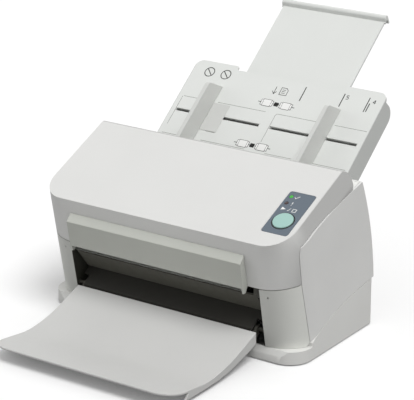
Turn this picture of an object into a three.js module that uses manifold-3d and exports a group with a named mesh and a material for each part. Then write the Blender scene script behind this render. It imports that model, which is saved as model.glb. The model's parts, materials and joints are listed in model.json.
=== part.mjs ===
// Sheet fed document scanner: paper slides down the chute, is drawn off sheet by sheet along one
// straight inclined path between two scan units, and comes out on the stacker tray in front.
// Millimetres, +Z up, +X to the right of the person who faces the front, front towards -Y.
import * as THREE from 'three';
import { mergeVertices } from 'three/addons/utils/BufferGeometryUtils.js';
import Module from 'manifold-3d';

const wasm = await Module();
wasm.setup();

// ---------------------------------------------------------------- driving dimensions
const BODY_WIDTH = 301;
const BODY_DEPTH = 161.3; // front top edge to rear face
const FRONT_TOP_Z = 126; // height of the edge between the front and the top
const FRONT_LEAN = 0.2; // the front leans out by this much per unit of height
const FRONT_RADIUS = 40; // plan radius of the front corners
const TOP_SLOPE = THREE.MathUtils.degToRad(24.3);
const COVER_DEPTH = 116.1; // front top edge to the back of the cover
const COVER_CREST_RADIUS = 9;
const TAPER_INSET = 7.3; // how far the cover's sides lean in
const TAPER_HEIGHT = 17;
const TOP_RADIUS = 26; // plan radius of the top face's front corners
const WALL = 2.5;
const CLEARANCE = 0.3; // between pieces that touch or fit
const SEAM = 0.8; // open line between the cover and what it closes on

const PILLAR_WIDTH = 38;
const PILLAR_TOP_Z = 77;
const SEAM_RISE = 0.23; // the cover's lower edge climbs towards the back
const PLINTH_HEIGHT = 14.4;
const PLINTH_LIP_Z = 8;
const PLINTH_RADIUS = 24;
const PLINTH_REACH = 5.4; // how far the plinth stands in front of the body at desk level
const BASE_REAR_HEIGHT = 50;
const BASE_BOTTOM_Z = 1.5;
const FOOT_RADIUS = 8;
const FOOT_HEIGHT = 3.2;
const FOOT_FROM_SIDE = 26;
const FRONT_FOOT_SETBACK = 37.3; // behind the front top edge
const REAR_FOOT_INSET = 20;

const PATH_ANGLE = THREE.MathUtils.degToRad(38.8);
const PATH_SETBACK = 14.3; // paper exit behind the front top edge
const PATH_EXIT_Z = 31;
const PAPER_HALF = 107.5; // half width of the guides and of the tray
const CHUTE_HALF = 116.5;
const CHUTE_TOP = 291; // along the path
const CHUTE_BOTTOM = 131.3;
const CHUTE_SIDE_DEPTH = 24;
const CHUTE_FACE = 2.5;
const FRAME_THICKNESS = 2;
const MOTOR_SHAFT_RADIUS = 1.6;
const MOTOR_BORE_RADIUS = 3;

const ROLLER_RADIUS = 9;
const SHAFT_RADIUS = 4;
const EXIT_AT = 38; // stations along the path
const SCAN_FROM = 50;
const SCAN_TO = 76;
const FEED_AT = 88;
const PICK_AT = 118;
const TYRE_OFFSET = 45;
const TYRE_WIDTH = 20;
const NIP = 0.2; // each roller stays this far from the sheet's mid-plane
const IDLER_RADIUS = 6;
const IDLER_SHAFT_RADIUS = 2.5;
const GUIDE_PLATE = 2; // thickness of the paper guides
const LOWER_FACE = -0.2;
const UPPER_FACE = 1.2;
const CHEEK_THICKNESS = 3.5; // end walls of the upper guide

const TRANSPORT_PULLEY_RADIUS = 7;
const DRIVE_PULLEY_RADIUS = 9;
const MOTOR_PULLEY_RADIUS = 6;
const PULLEY_WIDTH = 5;
const BELT_THICKNESS = 1.2;
const BELT_GAP = 0.2;
const MOTOR_RADIUS = 17.5;
const MOTOR_LENGTH = 30;
const MOTOR_AT = [81, -54]; // along and across the path

const COVER_HINGE_SETBACK = 14.3; // behind the front top edge
const COVER_HINGE_Z = 70;
const COVER_PIN_RADIUS = 1.5;
const TRAY_HINGE = [7, -6]; // along and across the path
const TRAY_PIN_RADIUS = 2;
const TRAY_LENGTH = 140; // paper exit to the tray's front edge
const TRAY_CORNER = 22;
const TRAY_PLATE = 2.4;

const VISOR_LEFT = -106;
const VISOR_RIGHT = 100.5;
const VISOR_PROUD = 8.5;
const VISOR_TOP_Z = 112;
const VISOR_EDGE_Z = 104.5;
const VISOR_FACE_BOTTOM_Z = 77.5;
const VISOR_CHEEK_BOTTOM_Z = 72;

const GUIDE_HALF_GAP = 70; // side guides as set, from the middle to each inner face
const GUIDE_THICKNESS = 4.5;
const GUIDE_HEIGHT = 24;
const GUIDE_OUT = 33;
const SLOT_AT = 225;
const SLOT_WIDTH = 3.5;
const SLOT_ENDS = [[-110, -6], [7, 110.5]];
const STUD_RADIUS = 2;
const GEAR_MODULE = 1;
const PINION_TEETH = 14;
const TOOTH_THICKNESS = 1.2; // at the pitch line, thinner than half the pitch for backlash
const RACK_THICKNESS = 3.5;
const EXTENSION_HALF = 62.5;
const EXTENSION_DROP = 13.4; // below the chute's face
const EXTENSION_PLATE = 2.2;
const EXTENSION_TOP = 386;
const EXTENSION_OVERLAP = 36;
const NOTCH_DEPTH = 5; // cut in the chute's top edge above the extension

const PANEL_CENTRE_X = 123.5;
const PANEL_WIDTH = 29;
const PANEL_FROM = 19; // up the slope from the front edge
const PANEL_TO = 77;
const PANEL_THICKNESS = 1;
const PANEL_CORNER = 3;
const BUTTON_UP_SLOPE = 37;
const BUTTON_RADIUS = 10.3;
const LAMP_RADIUS = 2;

const LATCH_AXIS = [140, -30]; // along and across the path
const LATCH_SHAFT_RADIUS = 3;
const LATCH_X = 124;
const LATCH_WIDTH = 4;
const DECK_FRONT_Z = 152.6;

// ---------------------------------------------------------------- worked-out places
const HALF_WIDTH = BODY_WIDTH / 2;
const REAR_Y = 80;
const FOOT_X = HALF_WIDTH - FOOT_FROM_SIDE;
const FRONT_TOP_Y = REAR_Y - BODY_DEPTH;
const COVER_BACK_Y = FRONT_TOP_Y + COVER_DEPTH;
const OPENING_HALF = HALF_WIDTH - PILLAR_WIDTH;
const INNER_HALF = HALF_WIDTH - WALL;
const LEAN_STRETCH = Math.hypot(1, FRONT_LEAN);
const PATH_Y = FRONT_TOP_Y + PATH_SETBACK;
const FRAME_X = CHUTE_HALF + CLEARANCE;
const FRAME_OUTER_X = FRAME_X + FRAME_THICKNESS;
const ROLLER_N = -(ROLLER_RADIUS + NIP);
const COVER_BOTTOM_Z = PILLAR_TOP_Z + SEAM + 0.5;
const FLOOR_Z = BASE_BOTTOM_Z + 3;
const COVER_HINGE_Y = FRONT_TOP_Y + COVER_HINGE_SETBACK;
const PITCH_RADIUS = GEAR_MODULE * PINION_TEETH / 2;
const DRIVE_X = FRAME_OUTER_X + 6;
const TRANSPORT_X = DRIVE_X + PULLEY_WIDTH + 2.5;
const DECK_Y = COVER_BACK_Y + SEAM;
const EAR_X = PAPER_HALF - WALL - CLEARANCE; // outer face of the tray's hinge ears
const EAR_WIDTH = 3;

const frontY = z => FRONT_TOP_Y + FRONT_LEAN * (FRONT_TOP_Z - z);
const topZ = y => FRONT_TOP_Z + (y - FRONT_TOP_Y) * Math.tan(TOP_SLOPE);
const fromPath = ([t, n]) => [
  PATH_Y + t * Math.cos(PATH_ANGLE) - n * Math.sin(PATH_ANGLE),
  PATH_EXIT_Z + t * Math.sin(PATH_ANGLE) + n * Math.cos(PATH_ANGLE),
];
const toPath = ([y, z]) => [
  (y - PATH_Y) * Math.cos(PATH_ANGLE) + (z - PATH_EXIT_Z) * Math.sin(PATH_ANGLE),
  (z - PATH_EXIT_Z) * Math.cos(PATH_ANGLE) - (y - PATH_Y) * Math.sin(PATH_ANGLE),
];

// ---------------------------------------------------------------- outlines
// Corners are [a, b] or [a, b, radius]; a radius rounds the corner with an arc.
const WIDE_RADIUS = 15;
const WIDE_STEP = Math.PI / 28;
const ARC_STEP = Math.PI / 14;
function outline(corners) {
  const count = corners.length;
  return corners.flatMap(([a, b, radius], i) => {
    const corner = new THREE.Vector2(a, b);
    if (!radius) return [corner];
    const towards = k => new THREE.Vector2(...corners[(i + k) % count].slice(0, 2)).sub(corner).normalize();
    const back = towards(count - 1);
    const on = towards(1);
    const half = Math.acos(THREE.MathUtils.clamp(back.dot(on), -1, 1)) / 2;
    const middle = back.clone().add(on).normalize();
    const centre = corner.clone().add(middle.multiplyScalar(radius / Math.sin(half)));
    const start = corner.clone().add(back.multiplyScalar(radius / Math.tan(half))).sub(centre).angle();
    const end = corner.clone().add(on.multiplyScalar(radius / Math.tan(half))).sub(centre).angle();
    let sweep = end - start;
    if (sweep > Math.PI) sweep -= 2 * Math.PI;
    if (sweep < -Math.PI) sweep += 2 * Math.PI;
    const steps = Math.max(2, Math.ceil(Math.abs(sweep) / (radius > WIDE_RADIUS ? WIDE_STEP : ARC_STEP)));
    return Array.from({ length: steps + 1 }, (_, k) => {
      const angle = start + sweep * k / steps;
      return new THREE.Vector2(centre.x + radius * Math.cos(angle), centre.y + radius * Math.sin(angle));
    });
  });
}

const rectangle = (a0, a1, b0, b1, radius = 0) =>
  outline([[a0, b0, radius], [a1, b0, radius], [a1, b1, radius], [a0, b1, radius]]);

const disc = (a, b, radius, steps = 24) => Array.from({ length: steps }, (_, k) => {
  const angle = 2 * Math.PI * k / steps;
  return new THREE.Vector2(a + radius * Math.cos(angle), b + radius * Math.sin(angle));
});

const bend = (from, control, to, steps = 10) =>
  new THREE.QuadraticBezierCurve(...[from, control, to].map(p => new THREE.Vector2(...p))).getPoints(steps);

// ---------------------------------------------------------------- prisms and turned pieces
const X_AXIS = new THREE.Vector3(1, 0, 0);
const Y_AXIS = new THREE.Vector3(0, 1, 0);
const Z_AXIS = new THREE.Vector3(0, 0, 1);

function prism(points, depth, across, up, along) {
  const geometry = new THREE.ExtrudeGeometry(new THREE.Shape(points), { depth, bevelEnabled: false });
  return geometry.applyMatrix4(new THREE.Matrix4().makeBasis(across, up, along));
}
const alongX = (points, x0, x1) => prism(points, x1 - x0, Y_AXIS, Z_AXIS, X_AXIS).translate(x0, 0, 0);
const alongZ = (points, z0, z1) => prism(points, z1 - z0, X_AXIS, Y_AXIS, Z_AXIS).translate(0, 0, z0);
const alongY = (points, y0, y1) =>
  prism(points, y1 - y0, X_AXIS, Z_AXIS, Y_AXIS.clone().negate()).translate(0, y1, 0);
const block = (x0, x1, y0, y1, z0, z1) => alongZ(rectangle(x0, x1, y0, y1), z0, z1);
const rod = (x0, x1, y, z, radius, steps = 24) => alongX(disc(y, z, radius, steps), x0, x1);

// A profile of [x, radius] steps turned about the X axis through (y, z).
function turned(profile, y, z, segments = 28) {
  const points = [[profile[0][0], 0], ...profile, [profile.at(-1)[0], 0]]
    .map(([x, radius]) => new THREE.Vector2(radius, x));
  return new THREE.LatheGeometry(points, segments).rotateZ(-Math.PI / 2).translate(0, y, z);
}

// A solid through rings of matching points, the lowest first, closed by a flat end at each.
function loft(rings) {
  const count = rings[0].length;
  const top = (rings.length - 1) * count;
  const index = [];
  for (let k = 0; k < count; k += 1) {
    const next = (k + 1) % count;
    for (let base = 0; base < top; base += count) {
      index.push(base + k, base + next, base + count + next, base + k, base + count + next, base + count + k);
    }
    if (k > 0 && next > 0) index.push(0, next, k, top, top + k, top + next);
  }
  const geometry = new THREE.BufferGeometry();
  const positions = rings.flat().flatMap(p => p.toArray());
  geometry.setAttribute('position', new THREE.Float32BufferAttribute(positions, 3));
  geometry.setIndex(index);
  return geometry;
}

const inPath = geometry => geometry.rotateX(PATH_ANGLE).translate(0, PATH_Y, PATH_EXIT_Z);
const onSlope = geometry => geometry.rotateX(TOP_SLOPE).translate(0, FRONT_TOP_Y, FRONT_TOP_Z);
const mirrored = points => points.map(p => new THREE.Vector2(-p.x, p.y)).reverse();

// ---------------------------------------------------------------- solids
function asSolid(shape) {
  if (!shape.isBufferGeometry) return shape;
  const bare = shape.clone();
  bare.deleteAttribute('normal');
  bare.deleteAttribute('uv');
  const merged = mergeVertices(bare, 1e-4);
  return new wasm.Manifold(new wasm.Mesh({
    numProp: 3,
    vertProperties: new Float32Array(merged.attributes.position.array),
    triVerts: new Uint32Array(merged.index.array),
  }));
}
const join = (...shapes) => shapes.map(asSolid).reduce((whole, next) => whole.add(next));
const cut = (body, ...tools) => tools.map(asSolid).reduce((rest, tool) => rest.subtract(tool), asSolid(body));
const common = (...shapes) => shapes.map(asSolid).reduce((whole, next) => whole.intersect(next));

function asGeometry(shape) {
  if (shape.isBufferGeometry) return shape;
  const mesh = shape.getMesh();
  const geometry = new THREE.BufferGeometry();
  geometry.setAttribute('position', new THREE.BufferAttribute(new Float32Array(mesh.vertProperties), 3));
  geometry.setIndex(new THREE.BufferAttribute(new Uint32Array(mesh.triVerts), 1));
  geometry.computeVertexNormals();
  return geometry;
}

// ---------------------------------------------------------------- materials
const LIGHT_PLASTIC = { color: 0xe0e0dc, roughness: 0.55, metalness: 0 };
const TRAY_PLASTIC = { color: 0xd2d2d0, roughness: 0.55, metalness: 0 };
const DARK_PLASTIC = { color: 0x2e2d29, roughness: 0.6, metalness: 0 };
const PANEL_BLUE = { color: 0x5f6a75, roughness: 0.5, metalness: 0 };
const BUTTON_GREEN = { color: 0xb0d8d0, roughness: 0.4, metalness: 0 };
const GREEN_LENS = { color: 0x3cc03c, roughness: 0.3, metalness: 0 };
const DARK_LENS = { color: 0x2a1512, roughness: 0.3, metalness: 0 };
const RUBBER = { color: 0x3a3a3c, roughness: 0.85, metalness: 0 };
const STEEL = { color: 0xb4b6b8, roughness: 0.35, metalness: 1 };
const GLASS = { color: 0xcfd8d6, roughness: 0.1, metalness: 0 };
const BOARD = { color: 0x2c6b43, roughness: 0.6, metalness: 0 };

const scanner = new THREE.Group();
const body = new THREE.Group();
const path = new THREE.Group(); // Y runs up the paper path, Z stands off it
const slope = new THREE.Group(); // Y runs up the cover's top, Z stands off it
path.rotation.x = PATH_ANGLE;
path.position.set(0, PATH_Y, PATH_EXIT_Z);
slope.rotation.x = TOP_SLOPE;
slope.position.set(0, FRONT_TOP_Y, FRONT_TOP_Z);
body.add(path, slope);
scanner.add(body);

function piece(group, name, shape, finish) {
  const mesh = new THREE.Mesh(asGeometry(shape), new THREE.MeshStandardMaterial(finish));
  mesh.name = name;
  group.add(mesh);
}

const SIDES = [['left', -1], ['right', 1]];
const span = (sign, near, far) => (sign > 0 ? [near, far] : [-far, -near]);

// ---------------------------------------------------------------- shared side-view curves
const PANEL_FRONT_TOP = [FRONT_TOP_Y + 26.9, FRONT_TOP_Z - 4.6];
const PANEL_BACK_TOP = [REAR_Y - 27.3, DECK_FRONT_Z + 4.4];
const SEAM_FRONT = [FRONT_TOP_Y + 47, PLINTH_HEIGHT + 4.4];
const panelTop = bend(PANEL_FRONT_TOP, [PANEL_FRONT_TOP[0] + 34, PANEL_FRONT_TOP[1] + 20.6], PANEL_BACK_TOP);
const panelRear = bend([REAR_Y - 0.3, BASE_REAR_HEIGHT], [REAR_Y - 4, BASE_REAR_HEIGHT + 55], PANEL_BACK_TOP);
const baseSeam = bend([REAR_Y, BASE_REAR_HEIGHT], [FRONT_TOP_Y + 81.3, BASE_REAR_HEIGHT - 8], SEAM_FRONT);
const PANEL_FRONT_LOWER = [FRONT_TOP_Y + 31.9, PILLAR_TOP_Z + 5];
const PANEL_FRONT_UPPER = [FRONT_TOP_Y + 26.3, FRONT_TOP_Z - 12];
const panelFront = [SEAM_FRONT, PANEL_FRONT_LOWER, PANEL_FRONT_UPPER].map(p => new THREE.Vector2(...p));
const shifted = (points, dy, dz) => points.map(p => new THREE.Vector2(p.x + dy, p.y + dz));

const frontPlan = (half, front, radius) => outline([
  [-half, front, radius], [half, front, radius], [half, REAR_Y + 90], [-half, REAR_Y + 90]]);

// The plan of the upper body: round front corners, open behind, leaning with the front.
function leaningPlan(inset = 0) {
  const plan = frontPlan(HALF_WIDTH - inset, frontY(0) + inset * LEAN_STRETCH, FRONT_RADIUS - inset);
  const sheared = alongZ(plan, 0, topZ(REAR_Y) + 20);
  const position = sheared.attributes.position;
  for (let i = 0; i < position.count; i += 1) {
    position.setY(i, position.getY(i) - FRONT_LEAN * position.getZ(i));
  }
  return sheared;
}
const bodyWall = () => cut(leaningPlan(), leaningPlan(WALL));

// ---------------------------------------------------------------- base
function basePlan(inset = 0) {
  const half = HALF_WIDTH - inset;
  const front = frontY(0) - PLINTH_REACH + inset;
  const rear = REAR_Y - inset;
  return alongZ(outline([
    [-half, front, PLINTH_RADIUS - inset], [half, front, PLINTH_RADIUS - inset],
    [half, rear, 6 - inset], [-half, rear, 6 - inset],
  ]), 0, BASE_REAR_HEIGHT + 5);
}

const FOOT_PLACES = [['front', FRONT_TOP_Y + FRONT_FOOT_SETBACK], ['rear', REAR_Y - REAR_FOOT_INSET]]
  .flatMap(([end, y]) => SIDES.map(([side, sign]) => ({ name: `${end}_${side}`, x: sign * FOOT_X, y })));
const BOARD_Z = 9;
const BOARD_THICKNESS = 1.6;
const BOARD_BOX = { x0: -96, x1: 20, y0: REAR_Y - 52, y1: REAR_Y - 5 };
const BOARD_TOP = BOARD_Z + BOARD_THICKNESS;
const BOARD_POSTS = [BOARD_BOX.x0 + 6, BOARD_BOX.x1 - 6]
  .flatMap(x => [BOARD_BOX.y0 + 6, BOARD_BOX.y1 - 6].map(y => [x, y]));
const USB = { x: -60, width: 12, height: 11, depth: 16 };
const JACK = { x: -30, width: 10, height: 11, depth: 14 };
const ROCKER = { x: 70, z: 30, width: 14, height: 21 };

function makeBase() {
  const front = frontY(0) - PLINTH_REACH;
  const profile = [
    ...outline([[front - 20, BASE_BOTTOM_Z], [REAR_Y + 9, BASE_BOTTOM_Z], [REAR_Y + 9, BASE_REAR_HEIGHT]]),
    ...shifted(baseSeam, 0, -CLEARANCE),
    ...outline([[SEAM_FRONT[0], PLINTH_HEIGHT], [front + 3, PLINTH_HEIGHT], [front, PLINTH_LIP_Z],
      [front - 20, PLINTH_LIP_Z]]),
  ];
  const above = block(-HALF_WIDTH, HALF_WIDTH, front, REAR_Y, FLOOR_Z, BASE_REAR_HEIGHT + 9);
  const below = block(-HALF_WIDTH, HALF_WIDTH, front, REAR_Y, FLOOR_Z, PLINTH_HEIGHT - WALL);
  const hollow = join(common(basePlan(WALL), leaningPlan(WALL), above), common(basePlan(WALL), below));
  const pockets = FOOT_PLACES.map(({ x, y }) =>
    alongZ(disc(x, y, FOOT_RADIUS + CLEARANCE), 0, FOOT_HEIGHT + CLEARANCE));
  const sockets = [USB, JACK].map(({ x, width, height }) => block(
    x - width / 2 - CLEARANCE, x + width / 2 + CLEARANCE, REAR_Y - 9, REAR_Y + 9,
    BOARD_TOP, BOARD_TOP + height + 2 * CLEARANCE));
  const rockerHole = block(
    ROCKER.x - ROCKER.width / 2 - CLEARANCE, ROCKER.x + ROCKER.width / 2 + CLEARANCE,
    REAR_Y - 9, REAR_Y + 9, ROCKER.z - ROCKER.height / 2 - 1.5, ROCKER.z + ROCKER.height / 2 + 1.5);
  const posts = BOARD_POSTS.map(([x, y]) => alongZ(disc(x, y, 3, 16), FLOOR_Z - 1, BOARD_Z - CLEARANCE));
  const outer = common(alongX(profile, -HALF_WIDTH - 5, HALF_WIDTH + 5), basePlan());
  const shell = cut(outer, hollow, ...pockets, ...sockets, rockerHole);
  piece(body, 'base_cover', join(shell, ...posts), LIGHT_PLASTIC);
  for (const { name, x, y } of FOOT_PLACES) {
    piece(body, `foot_${name}`, alongZ(disc(x, y, FOOT_RADIUS), 0, FOOT_HEIGHT), RUBBER);
  }
}

// ---------------------------------------------------------------- outer panels
const sidePanelOutline = [
  ...shifted(panelFront, 0, CLEARANCE), ...panelTop, ...panelRear.toReversed(), ...baseSeam.slice(1, -1),
];

function makeSidePanels() {
  for (const [side, sign] of SIDES) {
    const region = alongX(sidePanelOutline, ...span(sign, OPENING_HALF, HALF_WIDTH + 5));
    piece(body, `side_panel_${side}`, common(bodyWall(), region), LIGHT_PLASTIC);
  }
}

function makePillars() {
  const bottom = PLINTH_HEIGHT + CLEARANCE;
  const seamZ = y => PILLAR_TOP_Z + SEAM_RISE * (y - frontY(PILLAR_TOP_Z));
  const faceRegion = [[-160, bottom], [SEAM_FRONT[0] - 3, bottom], [SEAM_FRONT[0] - 0.6, SEAM_FRONT[1]],
    [PANEL_FRONT_LOWER[0] - 0.6, seamZ(PANEL_FRONT_LOWER[0])], [-160, seamZ(-160)]];
  const wallBack = PATH_Y + 23;
  const wallRegion = [[-160, bottom], [wallBack, bottom], [wallBack, seamZ(wallBack)], [-160, seamZ(-160)]];
  const [trayY, trayZ] = fromPath(TRAY_HINGE);
  for (const [side, sign] of SIDES) {
    const face = common(bodyWall(), alongX(outline(faceRegion), ...span(sign, OPENING_HALF, HALF_WIDTH + 5)));
    const cheek = alongX(outline(wallRegion), ...span(sign, OPENING_HALF, OPENING_HALF + WALL));
    const wall = common(leaningPlan(), cheek);
    const bores = [[COVER_HINGE_Y, COVER_HINGE_Z, COVER_PIN_RADIUS], [trayY, trayZ, TRAY_PIN_RADIUS]]
      .map(([y, z, radius]) =>
        rod(...span(sign, OPENING_HALF - 5, OPENING_HALF + 9), y, z, radius + CLEARANCE));
    piece(body, `front_pillar_${side}`, cut(join(face, wall), ...bores), LIGHT_PLASTIC);
  }
}

const chuteWay = (margin = CLEARANCE) => inPath(block(-CHUTE_HALF - margin, CHUTE_HALF + margin,
  CHUTE_BOTTOM - 60, CHUTE_TOP + 60, -CHUTE_SIDE_DEPTH - margin, 90));
const SHOULDER_Z = DECK_FRONT_Z - 4.6; // underside of the shoulder pieces at the back
const rearBand = () => [...panelRear, ...shifted(panelRear, -WALL, 0).toReversed()];

function makeRearPanel() {
  const reach = INNER_HALF - CLEARANCE;
  const panel = alongX(shifted(rearBand(), 0, CLEARANCE), -reach, reach);
  const above = block(-HALF_WIDTH, HALF_WIDTH, 0, REAR_Y + 20, SHOULDER_Z - CLEARANCE, SHOULDER_Z + 60);
  piece(body, 'rear_panel', cut(panel, chuteWay(0.6), above), LIGHT_PLASTIC);
}

// The deck beside the chute: a sloping top, a rear drop along the body's back and a web underneath.
function shoulder(sign) {
  const [x0, x1] = span(sign, FRAME_OUTER_X + CLEARANCE, INNER_HALF - CLEARANCE);
  const back = PANEL_BACK_TOP;
  const deck = [[DECK_Y, DECK_FRONT_Z - WALL], [DECK_Y, DECK_FRONT_Z], [back[0] - 1, back[1]],
    [back[0] - 1, back[1] - WALL]];
  const drop = common(alongX(rearBand(), x0, x1),
    block(x0 - 1, x1 + 1, 0, REAR_Y + 20, SHOULDER_Z, SHOULDER_Z + 60));
  return join(alongX(outline(deck), x0, x1), drop);
}

// ---------------------------------------------------------------- inner frame
const shaftStations = [EXIT_AT, FEED_AT, PICK_AT];

function makeFrame() {
  const rear = REAR_Y - 4;
  const plate = outline([
    [FRONT_TOP_Y + 33, FLOOR_Z + CLEARANCE], [rear, FLOOR_Z + CLEARANCE], [rear, BASE_REAR_HEIGHT, 3],
    [rear - 6, BASE_REAR_HEIGHT + 42], [rear - 14, BASE_REAR_HEIGHT + 75], [rear - 22, DECK_FRONT_Z - 12, 3],
    [DECK_Y + 3, DECK_FRONT_Z - 12, 3], [FRONT_TOP_Y + 52, 96], [FRONT_TOP_Y + 29, 80, 4],
    [FRONT_TOP_Y + 24, 60],
  ]);
  for (const [side, sign] of SIDES) {
    const bore = (t, n, radius) => inPath(rod(-HALF_WIDTH, HALF_WIDTH, t, n, radius));
    const bores = shaftStations.map(t => bore(t, ROLLER_N, SHAFT_RADIUS + CLEARANCE));
    bores.push(bore(...LATCH_AXIS, LATCH_SHAFT_RADIUS + CLEARANCE));
    if (sign > 0) bores.push(bore(...MOTOR_AT, MOTOR_BORE_RADIUS));
    const sheet = alongX(plate, ...span(sign, FRAME_X, FRAME_OUTER_X));
    piece(body, `frame_plate_${side}`, cut(sheet, ...bores), STEEL);
  }
  const [motorY, motorZ] = fromPath(MOTOR_AT);
  piece(body, 'drive_motor', turned([
    [CHUTE_HALF - MOTOR_LENGTH, MOTOR_RADIUS - 1], [CHUTE_HALF - MOTOR_LENGTH + 1, MOTOR_RADIUS],
    [CHUTE_HALF - 1, MOTOR_RADIUS], [CHUTE_HALF, MOTOR_RADIUS], [CHUTE_HALF, MOTOR_SHAFT_RADIUS],
    [DRIVE_X + PULLEY_WIDTH + 1, MOTOR_SHAFT_RADIUS],
  ], motorY, motorZ), STEEL);
  const board = block(BOARD_BOX.x0, BOARD_BOX.x1, BOARD_BOX.y0, BOARD_BOX.y1, BOARD_Z, BOARD_TOP);
  piece(body, 'main_board', board, BOARD);
  const onBoard = BOARD_TOP + CLEARANCE;
  const shell = ({ x, width, height, depth }) => block(x - width / 2, x + width / 2,
    REAR_Y - depth, REAR_Y - 0.6, onBoard, onBoard + height);
  const usbMouth = block(USB.x - 4, USB.x + 4, REAR_Y - 10, REAR_Y + 5,
    onBoard + 1.5, onBoard + USB.height - 1.5);
  const jackMouth = alongY(disc(JACK.x, onBoard + JACK.height / 2, 3.2), REAR_Y - 10, REAR_Y + 5);
  piece(body, 'usb_port', cut(shell(USB), usbMouth), STEEL);
  piece(body, 'power_jack', cut(shell(JACK), jackMouth), DARK_PLASTIC);
}

// ---------------------------------------------------------------- lower paper path
const tyreWindows = (t, centres, width) => centres.map(x => block(
  x - width / 2 - 1, x + width / 2 + 1, t - 7.5, t + 7.5, -9, 9));

function makeLowerPath() {
  const under = LOWER_FACE - GUIDE_PLATE;
  const ramp = alongX(outline([[2.4, LOWER_FACE], [SCAN_FROM - CLEARANCE, LOWER_FACE],
    [SCAN_FROM - CLEARANCE, under], [0.6, under]]), -PAPER_HALF, PAPER_HALF);
  const ears = SIDES.map(([, sign]) => block(...span(sign, PAPER_HALF - 2, CHUTE_HALF),
    EXIT_AT + SHAFT_RADIUS + 1, SCAN_FROM - CLEARANCE, under - 2, LOWER_FACE));
  const notches = SIDES.map(([, sign]) =>
    block(...span(sign, EAR_X - EAR_WIDTH - CLEARANCE, CHUTE_HALF), -1, 14, -9, 9));
  const exitWindows = tyreWindows(EXIT_AT, [-TYRE_OFFSET, TYRE_OFFSET], TYRE_WIDTH);
  piece(path, 'exit_ramp', join(cut(ramp, ...notches, ...exitWindows), ...ears), DARK_PLASTIC);

  const feedPlate = block(-CHUTE_HALF, CHUTE_HALF, SCAN_TO + CLEARANCE, CHUTE_BOTTOM - CLEARANCE,
    under, LOWER_FACE);
  const feedWindows = [...tyreWindows(FEED_AT, [-TYRE_OFFSET, TYRE_OFFSET], TYRE_WIDTH),
    ...tyreWindows(PICK_AT, [0], TYRE_WIDTH + 8)];
  piece(path, 'lower_feed_guide', cut(feedPlate, ...feedWindows), DARK_PLASTIC);

  const glassTop = -0.5;
  const glass = [-PAPER_HALF + 4, PAPER_HALF - 4, SCAN_FROM + 4, SCAN_TO - 4];
  const housing = block(-CHUTE_HALF, CHUTE_HALF, SCAN_FROM, SCAN_TO, -28, glassTop);
  const seat = block(glass[0] - CLEARANCE, glass[1] + CLEARANCE, glass[2] - CLEARANCE, glass[3] + CLEARANCE,
    glassTop - 2 - CLEARANCE, 9);
  piece(path, 'lower_scan_housing', cut(housing, seat), DARK_PLASTIC);
  piece(path, 'lower_scan_glass', block(...glass, glassTop - 2, glassTop), GLASS);
}

// ---------------------------------------------------------------- rollers and belts
function makeRollers() {
  const left = -FRAME_OUTER_X - 3;
  const right = TRANSPORT_X + PULLEY_WIDTH;
  const transportPulley = [[TRANSPORT_X, SHAFT_RADIUS], [TRANSPORT_X, TRANSPORT_PULLEY_RADIUS],
    [right, TRANSPORT_PULLEY_RADIUS]];
  const drivePulley = [[DRIVE_X, SHAFT_RADIUS], [DRIVE_X, DRIVE_PULLEY_RADIUS],
    [DRIVE_X + PULLEY_WIDTH, DRIVE_PULLEY_RADIUS], [DRIVE_X + PULLEY_WIDTH, SHAFT_RADIUS]];
  const shaft = extra => [[left, SHAFT_RADIUS], ...extra, ...transportPulley];
  const tyre = (x, width, t) => cut(rod(x - width / 2, x + width / 2, t, ROLLER_N, ROLLER_RADIUS, 36),
    rod(x - width, x + width, t, ROLLER_N, SHAFT_RADIUS + CLEARANCE));
  piece(path, 'exit_shaft', turned(shaft([]), EXIT_AT, ROLLER_N), STEEL);
  piece(path, 'feed_shaft', turned(shaft(drivePulley), FEED_AT, ROLLER_N), STEEL);
  piece(path, 'pick_shaft', turned(shaft([]), PICK_AT, ROLLER_N), STEEL);
  for (const [side, sign] of SIDES) {
    piece(path, `exit_tyre_${side}`, tyre(sign * TYRE_OFFSET, TYRE_WIDTH, EXIT_AT), RUBBER);
    piece(path, `feed_tyre_${side}`, tyre(sign * TYRE_OFFSET, TYRE_WIDTH, FEED_AT), RUBBER);
  }
  piece(path, 'pick_tyre', tyre(0, TYRE_WIDTH + 8, PICK_AT), RUBBER);
  piece(path, 'motor_pulley', cut(rod(DRIVE_X, DRIVE_X + PULLEY_WIDTH, ...MOTOR_AT, MOTOR_PULLEY_RADIUS),
    rod(DRIVE_X - 5, DRIVE_X + PULLEY_WIDTH + 5, ...MOTOR_AT, MOTOR_SHAFT_RADIUS + CLEARANCE)), DARK_PLASTIC);
  piece(path, 'drive_belt', belt(DRIVE_X, MOTOR_AT, MOTOR_PULLEY_RADIUS,
    [FEED_AT, ROLLER_N], DRIVE_PULLEY_RADIUS), RUBBER);
  piece(path, 'transport_belt', belt(TRANSPORT_X, [EXIT_AT, ROLLER_N], TRANSPORT_PULLEY_RADIUS,
    [PICK_AT, ROLLER_N], TRANSPORT_PULLEY_RADIUS), RUBBER);
}

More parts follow.
